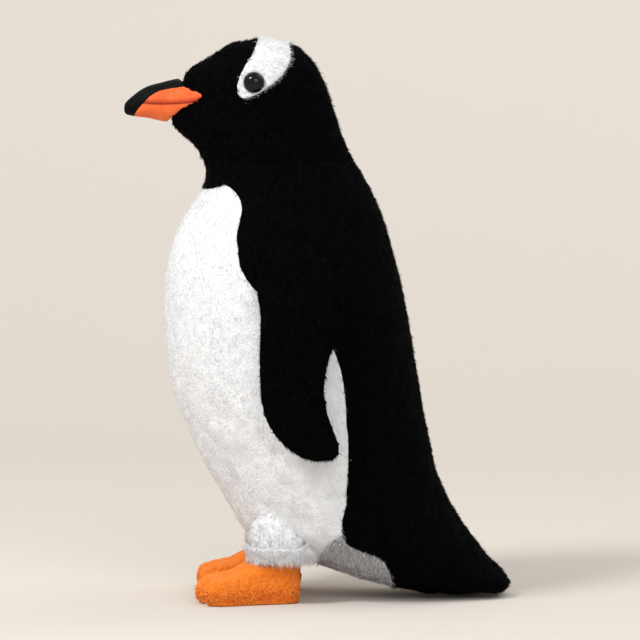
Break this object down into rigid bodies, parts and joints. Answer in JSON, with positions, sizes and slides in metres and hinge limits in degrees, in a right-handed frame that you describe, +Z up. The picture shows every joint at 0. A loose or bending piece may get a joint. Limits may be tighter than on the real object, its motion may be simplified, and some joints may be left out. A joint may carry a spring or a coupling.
{
  "type": "plush penguin",
  "caption": "Standing plush penguin with a black back, white belly and brow band, stuffed orange feet and beak, sewn flippers that swing out, and a long tail it leans on.",
  "frame": {"origin": "on the floor, at the middle of the toy's width and length", "axes": "+Z up, -Y the way the penguin looks, +X its own left side"},
  "size_m": [0.1554, 0.2204, 0.3198],
  "materials": {
    "black_plush": "short pile plush",
    "white_plush": "short pile plush",
    "grey_plush": "short pile plush",
    "flipper_lining": "short pile plush",
    "beak_black": "smooth minky",
    "beak_orange": "ribbed minky",
    "foot_fleece": "curly fleece",
    "stuffing": "loose fibre",
    "eye_gloss": "polished",
    "washer_plastic": "matte"
  },
  "bodies": {
    "body": {"body_filling": "stuffing", "brow_band": "white_plush", "belly_panel": "white_plush", "seat_panel": "grey_plush", "head_panel_left": "black_plush", "head_panel_right": "black_plush", "back_panel_left": "black_plush", "back_panel_right": "black_plush", "eye_left": "eye_gloss", "eye_right": "eye_gloss", "eye_washer_left": "washer_plastic", "eye_washer_right": "washer_plastic", "beak_top": "beak_black", "beak_lower": "beak_orange", "beak_filling": "stuffing", "beak_side_left": "beak_orange", "beak_side_right": "beak_orange", "foot_sole_left": "foot_fleece", "foot_sole_right": "foot_fleece", "foot_upper_left": "foot_fleece", "foot_upper_right": "foot_fleece", "foot_filling_left": "stuffing", "foot_filling_right": "stuffing", "leg_cover_left": "white_plush", "leg_cover_right": "white_plush", "leg_filling_left": "stuffing", "leg_filling_right": "stuffing", "ankle_cuff_left": "white_plush", "ankle_cuff_right": "white_plush"},
    "flipper_left": {"flipper_cover_left": "black_plush", "flipper_lining_left": "flipper_lining", "flipper_filling_left": "stuffing"},
    "flipper_right": {"flipper_cover_right": "black_plush", "flipper_lining_right": "flipper_lining", "flipper_filling_right": "stuffing"}
  },
  "joints": [
    {"name": "shoulder_left", "type": "hinge", "parent": "body", "child": "flipper_left", "pos_m": [0.0605, -0.016, 0.208], "axis": [0, -1, 0], "range_deg": [0, 95]},
    {"name": "shoulder_right", "type": "hinge", "parent": "body", "child": "flipper_right", "pos_m": [-0.0605, -0.016, 0.208], "axis": [0, 1, 0], "range_deg": [0, 95]}
  ]
}
